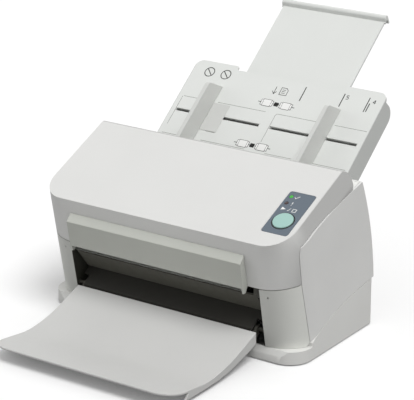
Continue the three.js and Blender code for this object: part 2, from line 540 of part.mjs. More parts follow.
// A flat belt around two pulleys: the outline of two arcs and their outer tangents.
function belt(x, [a0, b0], radius0, [a1, b1], radius1) {
  const heading = Math.atan2(b1 - b0, a1 - a0);
  const lag = Math.acos((radius0 - radius1) / Math.hypot(a1 - a0, b1 - b0));
  const loop = grow => {
    const arc = (a, b, radius, from, to) => Array.from({ length: 17 }, (_, k) => {
      const angle = from + (to - from) * k / 16;
      return new THREE.Vector2(a + (radius + grow) * Math.cos(angle), b + (radius + grow) * Math.sin(angle));
    });
    return [...arc(a1, b1, radius1, heading - lag, heading + lag),
      ...arc(a0, b0, radius0, heading + lag, heading + 2 * Math.PI - lag)];
  };
  return cut(alongX(loop(BELT_GAP + BELT_THICKNESS), x + 0.4, x + PULLEY_WIDTH - 0.4),
    alongX(loop(BELT_GAP), x - 5, x + PULLEY_WIDTH + 5));
}

// ---------------------------------------------------------------- chute, side guides and extension
const GUIDE_POST = SLOT_WIDTH / 2 - CLEARANCE;
const RACK_TOP = -CHUTE_FACE - CLEARANCE;
const RACK_BOTTOM = RACK_TOP - RACK_THICKNESS;
const EXTENSION_BOTTOM = CHUTE_TOP - EXTENSION_OVERLAP;
const EXTENSION_UNDER = -EXTENSION_DROP - EXTENSION_PLATE;

function makeChute() {
  const inner = CHUTE_HALF - WALL;
  const face = alongZ(outline([
    [-CHUTE_HALF, CHUTE_BOTTOM], [CHUTE_HALF, CHUTE_BOTTOM], [CHUTE_HALF, CHUTE_TOP, 9],
    [EXTENSION_HALF + 2, CHUTE_TOP, 1.5], [EXTENSION_HALF + 2, CHUTE_TOP - NOTCH_DEPTH, 1],
    [-EXTENSION_HALF - 2, CHUTE_TOP - NOTCH_DEPTH, 1], [-EXTENSION_HALF - 2, CHUTE_TOP, 1.5],
    [-CHUTE_HALF, CHUTE_TOP, 9],
  ]), -CHUTE_FACE, 0);
  const wallOutline = outline([[CHUTE_BOTTOM, -CHUTE_FACE], [CHUTE_BOTTOM, -CHUTE_SIDE_DEPTH],
    [CHUTE_TOP - 5, -CHUTE_SIDE_DEPTH, 12], [CHUTE_TOP - 9, -1], [CHUTE_BOTTOM, -1]]);
  const walls = SIDES.map(([, sign]) => alongX(wallOutline, ...span(sign, inner, CHUTE_HALF)));
  const slots = SLOT_ENDS.map(([x0, x1]) =>
    block(x0, x1, SLOT_AT - SLOT_WIDTH / 2, SLOT_AT + SLOT_WIDTH / 2, -9, 9));
  const stud = alongZ(disc(0, SLOT_AT, STUD_RADIUS, 16), RACK_BOTTOM, -1);
  const ribs = SIDES.map(([, sign]) => block(...span(sign, EXTENSION_HALF - 12, EXTENSION_HALF - 8),
    SLOT_AT + 16, CHUTE_TOP - 8, -EXTENSION_DROP + CLEARANCE, -1));
  piece(path, 'chute_plate', join(cut(face, ...slots), ...walls, stud, ...ribs), LIGHT_PLASTIC);

  const floor = block(-inner + CLEARANCE, inner - CLEARANCE, CHUTE_BOTTOM + 4, CHUTE_TOP - 10,
    -CHUTE_SIDE_DEPTH, -CHUTE_SIDE_DEPTH + 2);
  const rails = SIDES.flatMap(([, sign]) => [
    block(...span(sign, EXTENSION_HALF - 7, EXTENSION_HALF - 3), CHUTE_BOTTOM + 10, CHUTE_TOP - 10,
      -CHUTE_SIDE_DEPTH + 1, EXTENSION_UNDER - CLEARANCE),
    block(...span(sign, EXTENSION_HALF + CLEARANCE, EXTENSION_HALF + 3), CHUTE_BOTTOM + 10, CHUTE_TOP - 10,
      -CHUTE_SIDE_DEPTH + 1, -EXTENSION_DROP + 2),
  ]);
  piece(path, 'chute_back', join(floor, ...rails), LIGHT_PLASTIC);
}

function makeExtension() {
  const face = -EXTENSION_DROP;
  const sheet = block(-EXTENSION_HALF, EXTENSION_HALF, EXTENSION_BOTTOM, EXTENSION_TOP,
    EXTENSION_UNDER, face);
  const lip = alongX(outline([
    [EXTENSION_TOP - 1, EXTENSION_UNDER], [EXTENSION_TOP - 1, face], [EXTENSION_TOP, face],
    [EXTENSION_TOP + 2, face + 3.8, 3], [EXTENSION_TOP + 7.6, face + 5.6, 2.4],
    [EXTENSION_TOP + 5.4, face - 6.6, 0.6], [EXTENSION_TOP + 3.2, face - 6.6, 0.6],
    [EXTENSION_TOP + 4.4, face + 1.4, 1.5],
  ]), -EXTENSION_HALF - 1.5, EXTENSION_HALF + 1.5);
  piece(path, 'chute_extension', join(sheet, lip), LIGHT_PLASTIC);
}

const PITCH = Math.PI * GEAR_MODULE;
const TOOTH_SLANT = Math.tan(THREE.MathUtils.degToRad(20));
const ADDENDUM = 0.8 * GEAR_MODULE;
const DEDENDUM = 1.3 * GEAR_MODULE;

// Rack teeth face -Y from the pitch line at y = 0; the bar lies behind them.
function rackOutline(x0, x1, bar) {
  const tip = TOOTH_THICKNESS / 2 - ADDENDUM * TOOTH_SLANT;
  const root = TOOTH_THICKNESS / 2 + DEDENDUM * TOOTH_SLANT;
  const points = [[x1, DEDENDUM], [x1, DEDENDUM + bar], [x0, DEDENDUM + bar], [x0, DEDENDUM]];
  const first = Math.ceil((x0 + root) / PITCH - 0.5);
  const last = Math.floor((x1 - root) / PITCH - 0.5);
  for (let k = first; k <= last; k += 1) {
    const x = (k + 0.5) * PITCH;
    points.push([x - root, DEDENDUM], [x - tip, -ADDENDUM], [x + tip, -ADDENDUM], [x + root, DEDENDUM]);
  }
  return points.map(p => new THREE.Vector2(...p));
}

function pinionOutline() {
  const points = [];
  for (let k = 0; k < PINION_TEETH; k += 1) {
    const middle = Math.PI / 2 + 2 * Math.PI * k / PINION_TEETH;
    const at = (radius, side, half) => {
      const angle = middle + side * half / radius;
      points.push(new THREE.Vector2(radius * Math.cos(angle), radius * Math.sin(angle)));
    };
    const rootRadius = PITCH_RADIUS - DEDENDUM;
    const tipRadius = PITCH_RADIUS + ADDENDUM;
    at(rootRadius, -1, TOOTH_THICKNESS * 0.62);
    at(PITCH_RADIUS, -1, TOOTH_THICKNESS / 2);
    at(tipRadius, -1, TOOTH_THICKNESS * 0.24);
    at(tipRadius, 1, TOOTH_THICKNESS * 0.24);
    at(PITCH_RADIUS, 1, TOOTH_THICKNESS / 2);
    at(rootRadius, 1, TOOTH_THICKNESS * 0.62);
  }
  return points;
}

// The left guide's rack runs above the pinion; the right one is the same piece turned half round.
function sideGuide() {
  const inner = -GUIDE_HALF_GAP;
  const outer = inner - GUIDE_THICKNESS;
  const foot = CLEARANCE + 0.1;
  const fin = alongX(outline([[CHUTE_BOTTOM + 7.7, foot], [CHUTE_TOP - 29, foot],
    [CHUTE_TOP - 41, GUIDE_HEIGHT, 5], [CHUTE_BOTTOM + 25.7, GUIDE_HEIGHT]]), outer, inner);
  const postX = (inner + outer) / 2;
  const post = block(postX - 2, postX + 2, SLOT_AT - GUIDE_POST, SLOT_AT + GUIDE_POST, RACK_BOTTOM, foot + 1);
  const bar = 3;
  const rack = alongZ(rackOutline(postX - 2, GUIDE_OUT + 10, bar).reverse(), RACK_BOTTOM, RACK_TOP)
    .translate(0, SLOT_AT + PITCH_RADIUS, 0);
  const bridge = block(postX - 2, postX + 4, SLOT_AT - GUIDE_POST, SLOT_AT + PITCH_RADIUS + DEDENDUM + bar,
    RACK_BOTTOM, RACK_TOP);
  return { fin, post, rack, bridge };
}

function makeGuides() {
  const { fin, post, rack, bridge } = sideGuide();
  piece(path, 'guide_left', join(fin, post, rack, bridge), LIGHT_PLASTIC);
  const turnedRound = geometry => geometry.clone()
    .translate(0, -SLOT_AT, 0).rotateZ(Math.PI).translate(0, SLOT_AT, 0);
  const rightFin = fin.clone().translate(2 * GUIDE_HALF_GAP + GUIDE_THICKNESS, 0, 0);
  piece(path, 'guide_right', join(rightFin, ...[post, rack, bridge].map(turnedRound)), LIGHT_PLASTIC);
  const gear = alongZ(pinionOutline(), RACK_BOTTOM, RACK_TOP).translate(0, SLOT_AT, 0);
  const bore = alongZ(disc(0, SLOT_AT, STUD_RADIUS + CLEARANCE, 16), -20, 0);
  piece(path, 'guide_pinion', cut(gear, bore), LIGHT_PLASTIC);
}

// ---------------------------------------------------------------- stacker tray
const trayCurve = new THREE.SplineCurve([[0, 0], [21.5, -8.1], [47, -16.4], [78, -21.1], [104.5, -18.9],
  [TRAY_LENGTH, -14.2]].map(([out, rise]) => new THREE.Vector2(PATH_Y - out, PATH_EXIT_Z + rise)));

function makeTray() {
  const top = trayCurve.getPoints(18);
  const sheet = alongX([...top, ...shifted(top, 0, -TRAY_PLATE).toReversed()], -PAPER_HALF, PAPER_HALF);
  const skirtTop = top.filter(p => p.x > PATH_Y - TRAY_LENGTH + TRAY_CORNER);
  const lower = new THREE.SplineCurve([[0, -12], [17, -17.5], [59, -26.2], [TRAY_LENGTH - TRAY_CORNER, -27.2]]
    .map(([out, rise]) => new THREE.Vector2(PATH_Y - out, PATH_EXIT_Z + rise))).getPoints(10);
  const skirts = SIDES.map(([, sign]) => alongX([...shifted(skirtTop, 0, -0.4), ...lower.toReversed()],
    ...span(sign, PAPER_HALF - WALL, PAPER_HALF)));
  const front = PATH_Y - TRAY_LENGTH;
  const plan = alongZ(outline([[-PAPER_HALF, front, TRAY_CORNER], [PAPER_HALF, front, TRAY_CORNER],
    [PAPER_HALF, PATH_Y], [-PAPER_HALF, PATH_Y]]), -40, 120);
  piece(body, 'stacker_tray', common(join(sheet, ...skirts), plan), TRAY_PLASTIC);

  for (const [side, sign] of SIDES) {
    const [t, n] = TRAY_HINGE;
    const ear = alongX(outline([[-9, -6], [0.5, n - 3.5, 1], [t, n - 4], [t + 3.5, n - 1],
      [t + 3.5, n + 2, 1], [t, n + 4, 1], [1.5, n + 3.2], [-9, n + 3]]),
    ...span(sign, EAR_X - EAR_WIDTH, EAR_X));
    const pin = rod(...span(sign, EAR_X - 1, OPENING_HALF + WALL - CLEARANCE), t, n, TRAY_PIN_RADIUS, 20);
    piece(path, `tray_pivot_${side}`, join(ear, pin), DARK_PLASTIC);
  }
}

// ---------------------------------------------------------------- cover
function coverBlock(inset) {
  const back = COVER_BACK_Y - inset;
  const drop = inset / Math.cos(TOP_SLOPE);
  const front = FRONT_TOP_Y - 30;
  const crest = Math.max(COVER_CREST_RADIUS - inset, 1);
  const lowerEdge = y => [y, COVER_BOTTOM_Z + SEAM_RISE * (y - frontY(PILLAR_TOP_Z))];
  const side = inset
    ? [[front, 40], [back, 40]]
    : [lowerEdge(front), lowerEdge(PANEL_FRONT_LOWER[0] - SEAM),
      [PANEL_FRONT_UPPER[0] - SEAM, PANEL_FRONT_UPPER[1]],
      ...shifted(panelTop.filter(p => p.x < COVER_BACK_Y - 1), -SEAM / 2, SEAM).map(p => [p.x, p.y]),
      [back, DECK_FRONT_Z + 1.6]];
  const profile = outline([...side, [back, topZ(back) - drop, crest], [front, topZ(front) - drop]]);
  return common(alongX(profile, -HALF_WIDTH - 5, HALF_WIDTH + 5), taperedPlan(inset));
}

// The cover's plan: upright walls up to the taper's foot, then leaning in to the top face's outline.
function taperedPlan(inset) {
  const half = HALF_WIDTH - inset;
  const behind = inset * LEAN_STRETCH;
  const wall = frontPlan(half, frontY(0) + behind, FRONT_RADIUS - inset);
  const top = frontPlan(half - TAPER_INSET, FRONT_TOP_Y + behind, TOP_RADIUS - inset);
  const rise = Math.tan(TOP_SLOPE);
  const drop = TAPER_HEIGHT / Math.cos(TOP_SLOPE);
  const foot = wall.map(p => {
    const y = (p.y - FRONT_LEAN * (FRONT_TOP_Z - FRONT_TOP_Y * rise - drop)) / (1 + FRONT_LEAN * rise);
    return new THREE.Vector3(p.x, y, topZ(y) - drop);
  });
  const beyond = top.map((p, k) => new THREE.Vector3(p.x, p.y, topZ(p.y)).lerp(foot[k], -10 / TAPER_HEIGHT));
  return loft([wall.map(p => new THREE.Vector3(p.x, p.y, 0)), foot, beyond]);
}

function makeCover() {
  const shell = cut(coverBlock(0), coverBlock(WALL));
  const ceiling = y => topZ(y) - WALL / Math.cos(TOP_SLOPE) + 0.5;
  const apron = block(-INNER_HALF + 8, INNER_HALF - 8, COVER_BACK_Y - WALL, COVER_BACK_Y,
    DECK_FRONT_Z - 2.6, ceiling(COVER_BACK_Y) - 14);
  const armX = [OPENING_HALF - 3.5, OPENING_HALF - 0.4];
  const arms = SIDES.map(([, sign]) => cut(
    join(
      rod(...span(sign, ...armX), COVER_HINGE_Y, COVER_HINGE_Z, 3),
      common(leaningPlan(WALL / 2), alongX(outline([
        [COVER_HINGE_Y - 2.2, COVER_HINGE_Z], [COVER_HINGE_Y + 3, COVER_HINGE_Z],
        [COVER_HINGE_Y + 3, 96], [COVER_HINGE_Y - 18, 96], [frontY(82) + 1, 82]]), ...span(sign, ...armX)))),
    rod(...span(sign, armX[0] + 1, armX[1] + 5), COVER_HINGE_Y, COVER_HINGE_Z,
      COVER_PIN_RADIUS + CLEARANCE)));
  const lugs = SIDES.map(([, sign]) => alongX(outline([[COVER_BACK_Y - 8, DECK_FRONT_Z - 18],
    [COVER_BACK_Y - 3, DECK_FRONT_Z - 18], [COVER_BACK_Y - 1, ceiling(COVER_BACK_Y - 16)],
    [COVER_BACK_Y - 8, ceiling(COVER_BACK_Y - 8)]]), ...span(sign, LATCH_X - 2, LATCH_X + 2)));
  const panelLeft = PANEL_CENTRE_X - PANEL_WIDTH / 2;
  const panelRight = PANEL_CENTRE_X + PANEL_WIDTH / 2;
  const pocketOutline = rectangle(panelLeft - CLEARANCE, panelRight + CLEARANCE,
    PANEL_FROM - CLEARANCE, PANEL_TO + CLEARANCE, PANEL_CORNER);
  const pocket = onSlope(alongZ(pocketOutline, -PANEL_THICKNESS - CLEARANCE, 20));
  const buttonDisc = radius => disc(PANEL_CENTRE_X, BUTTON_UP_SLOPE, radius, 32);
  const buttonHole = onSlope(alongZ(buttonDisc(BUTTON_RADIUS + CLEARANCE), -20, 20));
  piece(body, 'cover_shell', cut(join(shell, apron, ...arms, ...lugs), pocket, buttonHole), LIGHT_PLASTIC);
  for (const [side, sign] of SIDES) {
    const pin = rod(...span(sign, armX[0] + 1 + CLEARANCE, OPENING_HALF + WALL), COVER_HINGE_Y, COVER_HINGE_Z,
      COVER_PIN_RADIUS, 16);
    piece(body, `cover_pin_${side}`, pin, STEEL);
  }

  const lampX = panelLeft + 4.5;
  const lamps = [['ready_lamp', 70, GREEN_LENS], ['error_lamp', 60.5, DARK_LENS]];
  const holes = [alongZ(buttonDisc(BUTTON_RADIUS + CLEARANCE), -9, 9),
    ...lamps.map(([, y]) => alongZ(disc(lampX, y, LAMP_RADIUS + CLEARANCE, 16), -9, 9))];
  const plateOutline = rectangle(panelLeft, panelRight, PANEL_FROM, PANEL_TO, PANEL_CORNER);
  const plate = alongZ(plateOutline, -PANEL_THICKNESS, 0);
  piece(slope, 'operator_panel', cut(plate, ...holes), PANEL_BLUE);
  piece(slope, 'start_button', join(
    alongZ(buttonDisc(BUTTON_RADIUS), -6, 1.7),
    alongZ(buttonDisc(BUTTON_RADIUS + 2), -6, -WALL - CLEARANCE)), BUTTON_GREEN);
  for (const [name, y, lens] of lamps) {
    piece(slope, name, alongZ(disc(lampX, y, LAMP_RADIUS, 16), -PANEL_THICKNESS, 0.3), lens);
  }
}

function makeVisor() {
  const depthAt = (z, proud) => frontY(z) - proud;
  const hood = alongX(outline([
    [depthAt(VISOR_TOP_Z, CLEARANCE), VISOR_TOP_Z], [depthAt(VISOR_EDGE_Z, VISOR_PROUD), VISOR_EDGE_Z],
    [depthAt(VISOR_CHEEK_BOTTOM_Z, VISOR_PROUD), VISOR_CHEEK_BOTTOM_Z],
    [depthAt(VISOR_CHEEK_BOTTOM_Z, VISOR_PROUD - 4), VISOR_CHEEK_BOTTOM_Z],
    [depthAt(VISOR_FACE_BOTTOM_Z, CLEARANCE), VISOR_FACE_BOTTOM_Z + 1],
  ]), VISOR_LEFT, VISOR_RIGHT);
  const left = VISOR_LEFT + 2;
  const right = VISOR_RIGHT - 2;
  const below = block(left, right, -160, 0, 0, VISOR_FACE_BOTTOM_Z);
  const hollow = alongX(outline([
    [depthAt(60, VISOR_PROUD - 2), 60], [depthAt(VISOR_EDGE_Z - 2, VISOR_PROUD - 2), VISOR_EDGE_Z - 2],
    [depthAt(VISOR_TOP_Z - 4, 2.5), VISOR_TOP_Z - 5], [depthAt(60, 2), 60]]), left, right);
  piece(body, 'exit_visor', cut(hood, below, hollow), LIGHT_PLASTIC);
}

// ---------------------------------------------------------------- upper paper path, carried by the cover
function makeUpperPath() {
  const over = UPPER_FACE + GUIDE_PLATE;
  const upperStart = 23;
  const sheet = block(-PAPER_HALF, PAPER_HALF, upperStart, CHUTE_BOTTOM - 1, UPPER_FACE, over);
  const frontWall = block(-PAPER_HALF, PAPER_HALF, upperStart, upperStart + 2, UPPER_FACE, 29);
  const underTop = y => topZ(y) - (WALL + CLEARANCE) / Math.cos(TOP_SLOPE);
  const cheekBack = COVER_BACK_Y - WALL - 8;
  const cheek = outline([
    [upperStart, UPPER_FACE], [CHUTE_BOTTOM - 1, UPPER_FACE], [CHUTE_BOTTOM - 1, 20],
    toPath([cheekBack, underTop(cheekBack)]), toPath([FRONT_TOP_Y + 14, underTop(FRONT_TOP_Y + 14)]),
    [upperStart, 29],
  ]);
  const cheeks = SIDES.map(([, sign]) =>
    alongX(cheek, ...span(sign, PAPER_HALF - CHEEK_THICKNESS, PAPER_HALF)));
  const idlerWindows = [EXIT_AT, FEED_AT].map(t =>
    block(-TYRE_OFFSET - 15, TYRE_OFFSET + 15, t - 7.5, t + 7.5, -9, 9));
  const scanHalf = PAPER_HALF - CHEEK_THICKNESS + 0.1;
  const scanWindow = block(-scanHalf, scanHalf, SCAN_FROM - 0.5, SCAN_TO + 0.5, -9, 9);
  const padWindow = block(-16.3, 16.3, PICK_AT - 8.3, PICK_AT + 8.3, -9, 9);
  const bores = [EXIT_AT, FEED_AT].map(t =>
    rod(-PAPER_HALF - 5, PAPER_HALF + 5, t, IDLER_RADIUS + NIP, IDLER_SHAFT_RADIUS + CLEARANCE));
  const opened = cut(join(sheet, frontWall), ...idlerWindows, scanWindow, padWindow);
  piece(path, 'upper_guide', cut(join(opened, ...cheeks), ...bores), DARK_PLASTIC);

  const reach = PAPER_HALF - CHEEK_THICKNESS - CLEARANCE;
  const glass = [-reach + 1, reach - 1, SCAN_FROM + 4, SCAN_TO - 4];
  const housing = block(-reach, reach, SCAN_FROM, SCAN_TO, UPPER_FACE + 0.3, 26);
  const seat = block(glass[0] - CLEARANCE, glass[1] + CLEARANCE, glass[2] - CLEARANCE, glass[3] + CLEARANCE,
    -9, UPPER_FACE + 2.3 + CLEARANCE);
  piece(path, 'upper_scan_housing', cut(housing, seat), DARK_PLASTIC);
  piece(path, 'upper_scan_glass', block(...glass, UPPER_FACE + 0.3, UPPER_FACE + 2.3), GLASS);

  piece(path, 'separation_pad', join(block(-16, 16, PICK_AT - 8, PICK_AT + 8, NIP + 0.1, over + 1),
    block(-19, 19, PICK_AT - 8, PICK_AT + 8, over + CLEARANCE, over + 2)), RUBBER);
  const roller = x => [[x - 9, IDLER_SHAFT_RADIUS], [x - 9, IDLER_RADIUS], [x + 9, IDLER_RADIUS],
    [x + 9, IDLER_SHAFT_RADIUS]];
  const idler = [[-PAPER_HALF + 0.5, IDLER_SHAFT_RADIUS], ...roller(-TYRE_OFFSET), ...roller(TYRE_OFFSET),
    [PAPER_HALF - 0.5, IDLER_SHAFT_RADIUS]];
  piece(path, 'exit_idler', turned(idler, EXIT_AT, IDLER_RADIUS + NIP), DARK_PLASTIC);
  piece(path, 'feed_idler', turned(idler, FEED_AT, IDLER_RADIUS + NIP), DARK_PLASTIC);
}

// ---------------------------------------------------------------- release lever and latch
function makeLatch() {
  const [shaftY, shaftZ] = fromPath(LATCH_AXIS);
  const noseZ = DECK_FRONT_Z - 15;
  const noseY = COVER_BACK_Y - 2.2;
  const hookX = [LATCH_X - LATCH_WIDTH / 2, LATCH_X + LATCH_WIDTH / 2];
  const hook = sign => cut(
    join(
      rod(...span(sign, ...hookX), shaftY, shaftZ, 7),
      alongX(outline([[shaftY - 5, shaftZ - 2], [shaftY + 4, shaftZ + 3], [noseY + 9, noseZ + 3, 2],
        [noseY, noseZ + 3], [noseY, noseZ - 1], [noseY + 3, noseZ - 4]]), ...span(sign, ...hookX))),
    rod(...span(sign, LATCH_X - 9, LATCH_X + 9), shaftY, shaftZ, LATCH_SHAFT_RADIUS + CLEARANCE));
  const stem = alongX(outline([
    [shaftY - 3, shaftZ + 4], [shaftY + 3, shaftZ + 4], [PANEL_BACK_TOP[0] - 6, DECK_FRONT_Z + 1.5],
    [PANEL_BACK_TOP[0] - 12, DECK_FRONT_Z + 0.5]]), ...hookX);
  const shaftEnd = LATCH_X + LATCH_WIDTH;
  piece(body, 'release_lever', join(hook(1), stem, shoulder(1)), LIGHT_PLASTIC);
  piece(body, 'latch_hook_left', hook(-1), DARK_PLASTIC);
  piece(body, 'latch_shaft', rod(-shaftEnd, shaftEnd, shaftY, shaftZ, LATCH_SHAFT_RADIUS), STEEL);
  piece(body, 'shoulder_left', shoulder(-1), LIGHT_PLASTIC);
}

function makeRocker() {
  const half = ROCKER.width / 2;
  const tall = ROCKER.height / 2;
  const side = outline([[-6, -3], [-1.5, -tall], [1.2, -tall], [0, 0], [1.2, tall], [-1.5, tall], [-6, 3]]);
  const shape = alongX(side, ROCKER.x - half, ROCKER.x + half)
    .rotateX(THREE.MathUtils.degToRad(-7)).translate(0, REAR_Y, ROCKER.z);
  piece(body, 'power_rocker', shape, DARK_PLASTIC);
}

makeBase();
makeSidePanels();
makePillars();
makeRearPanel();
makeFrame();
makeLowerPath();
makeRollers();
makeChute();
makeExtension();
makeGuides();
makeTray();
makeCover();
makeVisor();
makeUpperPath();
makeLatch();
makeRocker();

// ---------------------------------------------------------------- origin: middle of the base, on the desk
scanner.updateMatrixWorld(true);
const middle = new THREE.Box3().setFromObject(scanner, true).getCenter(new THREE.Vector3());
body.position.set(-middle.x, -middle.y, 0);
scanner.userData.pivots = {
  shift: [-middle.x, -middle.y],
  cover: [COVER_HINGE_Y, COVER_HINGE_Z],
  tray: fromPath(TRAY_HINGE),
  latch: fromPath(LATCH_AXIS),
  exit: fromPath([EXIT_AT, ROLLER_N]),
  feed: fromPath([FEED_AT, ROLLER_N]),
  pick: fromPath([PICK_AT, ROLLER_N]),
  motor: fromPath(MOTOR_AT),
  exitIdler: fromPath([EXIT_AT, IDLER_RADIUS + NIP]),
  feedIdler: fromPath([FEED_AT, IDLER_RADIUS + NIP]),
  pinion: fromPath([SLOT_AT, 0]),
  rocker: [REAR_Y, ROCKER.z],
};

export default scanner;
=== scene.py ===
# Sheet fed document scanner: finished surfaces, printed marks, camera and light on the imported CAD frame.
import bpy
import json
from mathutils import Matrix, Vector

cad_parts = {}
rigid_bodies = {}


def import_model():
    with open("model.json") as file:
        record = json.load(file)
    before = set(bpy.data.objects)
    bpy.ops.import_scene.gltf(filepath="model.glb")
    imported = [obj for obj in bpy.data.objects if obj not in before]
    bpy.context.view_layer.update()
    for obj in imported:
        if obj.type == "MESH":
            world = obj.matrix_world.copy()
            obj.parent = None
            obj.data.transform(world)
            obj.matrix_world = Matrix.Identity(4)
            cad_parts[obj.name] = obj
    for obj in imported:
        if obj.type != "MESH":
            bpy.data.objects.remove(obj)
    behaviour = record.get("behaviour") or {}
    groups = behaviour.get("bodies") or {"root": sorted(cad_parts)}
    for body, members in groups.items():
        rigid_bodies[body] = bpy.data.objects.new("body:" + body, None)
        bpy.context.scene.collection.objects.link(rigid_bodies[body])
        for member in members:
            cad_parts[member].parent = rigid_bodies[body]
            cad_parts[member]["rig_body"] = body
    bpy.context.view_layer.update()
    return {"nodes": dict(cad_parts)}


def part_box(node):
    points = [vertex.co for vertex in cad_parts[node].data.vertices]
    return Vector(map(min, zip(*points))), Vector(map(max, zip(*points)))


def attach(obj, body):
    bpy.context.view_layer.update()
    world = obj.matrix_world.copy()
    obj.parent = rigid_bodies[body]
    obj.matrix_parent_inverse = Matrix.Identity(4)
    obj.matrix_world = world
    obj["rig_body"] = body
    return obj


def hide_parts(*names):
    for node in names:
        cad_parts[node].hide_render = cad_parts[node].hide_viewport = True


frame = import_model()

import json
from math import cos, pi, radians, sin

import bmesh
import bpy
from mathutils import Matrix, Vector

# ---------------------------------------------------------------- places, repeated from the CAD source in mm
MM = 0.001
REAR_Y = 80.0
FRONT_TOP = (-81.3, 126.0)
TOP_SLOPE = radians(24.3)
PATH_ANGLE = radians(38.8)
PATH_START = (-67.0, 31.0)
CHUTE_TOP = 291.0
CHUTE_HALF = 116.5
PANEL_X = 123.5
BUTTON_UP = 37.0
BUTTON_RADIUS = 10.3
LAMP_X = 113.5
LAMPS_UP = {"ready_lamp": 70.0, "error_lamp": 60.5}
LAMP_RADIUS = 2.0
SHIFT_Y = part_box("base_cover")[1][1] - REAR_Y * MM


def placed(angle, y, z):
    """Takes mm in a tilted frame at (y, z) of the scanner's side view to metres in the row frame."""
    move = Matrix.Translation((0.0, y * MM + SHIFT_Y, z * MM))
    return move @ Matrix.Rotation(angle, 4, "X") @ Matrix.Scale(MM, 4)


ON_PATH = placed(PATH_ANGLE, *PATH_START)
ON_SLOPE = placed(TOP_SLOPE, *FRONT_TOP)


# ---------------------------------------------------------------- node helpers
def linear(hex_colour):
    """A written sRGB colour as linear light."""
    channels = [((hex_colour >> shift) & 255) / 255 for shift in (16, 8, 0)]
    return [c / 12.92 if c <= 0.04045 else ((c + 0.055) / 1.055) ** 2.4 for c in channels]


class Tree:
    """A short way to add nodes and join them."""

    def __init__(self, tree):
        self.tree = tree

    def add(self, kind, inputs=None, **settings):
        node = self.tree.nodes.new(kind)
        for key, value in settings.items():
            setattr(node, key, value)
        for key, value in (inputs or {}).items():
            self.join(value, node.inputs[key])
        return node

    def join(self, value, socket):
        if isinstance(value, bpy.types.NodeSocket):
            self.tree.links.new(value, socket)
        else:
            socket.default_value = value

    def ramp(self, value, low, high, out_low, out_high, smooth=False):
        node = self.add("ShaderNodeMapRange", {
            "Value": value, "From Min": low, "From Max": high, "To Min": out_low, "To Max": out_high},
            interpolation_type="SMOOTHSTEP" if smooth else "LINEAR")
        return node.outputs["Result"]

    def math(self, operation, a, b=0.0):
        return self.add("ShaderNodeMath", {0: a, 1: b}, operation=operation).outputs[0]


class Nodes(Tree):
    """A new material with its shader, placed by the object's own coordinates."""

    def __init__(self, name):
        self.material = bpy.data.materials.new(name)
        self.material.use_nodes = True
        super().__init__(self.material.node_tree)
        self.shader = self.tree.nodes["Principled BSDF"]
        self.place = self.add("ShaderNodeTexCoord").outputs["Object"]

    def noise(self, size_mm, detail=2.0, roughness=0.5):
        node = self.add("ShaderNodeTexNoise", {
            "Vector": self.place, "Scale": 1.0 / (size_mm * MM), "Detail": detail, "Roughness": roughness})
        return node.outputs["Fac"]

    def mix(self, factor, a, b):
        """Mixes two colours, each a colour of three or a socket."""
        pad = [v if isinstance(v, bpy.types.NodeSocket) else [*v, 1.0] for v in (a, b)]
        node = self.add("ShaderNodeMix", {0: factor, 6: pad[0], 7: pad[1]}, data_type="RGBA")
        return node.outputs[2]

    def across(self, direction, origin):
        """Signed distance along a direction from a point, in metres."""
        node = self.add("ShaderNodeVectorMath", {0: self.place, 1: direction}, operation="DOT_PRODUCT")
        return self.math("SUBTRACT", node.outputs["Value"], Vector(origin).dot(Vector(direction)))

    def side(self):
        """How far a point lies from the middle plane, in metres."""
        x = self.add("ShaderNodeSeparateXYZ", {0: self.place}).outputs["X"]
        return self.math("ABSOLUTE", x)

    def surface(self, colour, roughness, spread, grain_mm, bump):
        """Colour, uneven gloss and a fine moulded grain."""
        self.join(colour, self.shader.inputs["Base Color"])
        patchy = self.noise(9.0, 3.0)
        self.join(self.ramp(patchy, 0.3, 0.7, roughness - spread, roughness + spread),
                  self.shader.inputs["Roughness"])
        fine = self.noise(grain_mm, 2.0, 0.6)
        relief = self.add("ShaderNodeBump", {"Height": fine, "Strength": bump, "Distance": 0.00006})
        self.join(relief.outputs["Normal"], self.shader.inputs["Normal"])


def toned(n, colour, spread=0.03, size_mm=70.0):
    """The colour with a slow drift of tone and faint specks, as a moulded or painted surface has."""
    low = [c * (1 - spread) for c in colour]
    high = [min(1.0, c * (1 + spread)) for c in colour]
    drift = n.mix(n.ramp(n.noise(size_mm, 3.0), 0.3, 0.7, 0.0, 1.0), low, high)
    speck = n.ramp(n.noise(1.3, 1.0), 0.62, 0.8, 0.0, 0.05)
    return n.mix(speck, drift, [c * 0.6 for c in colour])


def scaled(n, colour, factor):
    """A colour socket darkened by a factor socket."""
    node = n.add("ShaderNodeVectorMath", {0: colour, 3: factor}, operation="SCALE")
    return node.outputs["Vector"]


def plastic(name, hex_colour, roughness=0.5, spread=0.06, grain_mm=0.55, bump=0.25, level=0.4, drift=0.02):
    n = Nodes(name)
    n.surface(toned(n, linear(hex_colour), drift), roughness, spread, grain_mm, bump)
    n.shader.inputs["Specular IOR Level"].default_value = level
    return n


# ---------------------------------------------------------------- materials
# The dark plastic's colour; the cover and the pillars also take it as painted shade on their faces in the
# paper exit.
DARK_HEX = 0x3F3E38
EXIT_HALF = 112.5  # half the paper exit's width, in mm
ARM_TOP = 77.7  # height in mm that the painted shade on the cover's inner faces reaches
BAND_SHADE_EDGE = (-1.1, -0.3)  # the painted shade on the band starts this far under the top face, in mm
FLANK_SHADE_SPAN, FLANK_SHADE_TONES = (12.0, 40.0), (0.99, 0.64)  # mm behind the top's front edge, and the tones of the painted shade there
PILLAR_SHADE_SPAN, PILLAR_SHADE_TONES = (118.0, 146.0), (0.87, 1.14)  # mm from the middle, and the tones of the painted shading across the pillar there
# The tone of the painted shade on the chute's outer side walls.
WALL_SHADE_TONE = 0.80


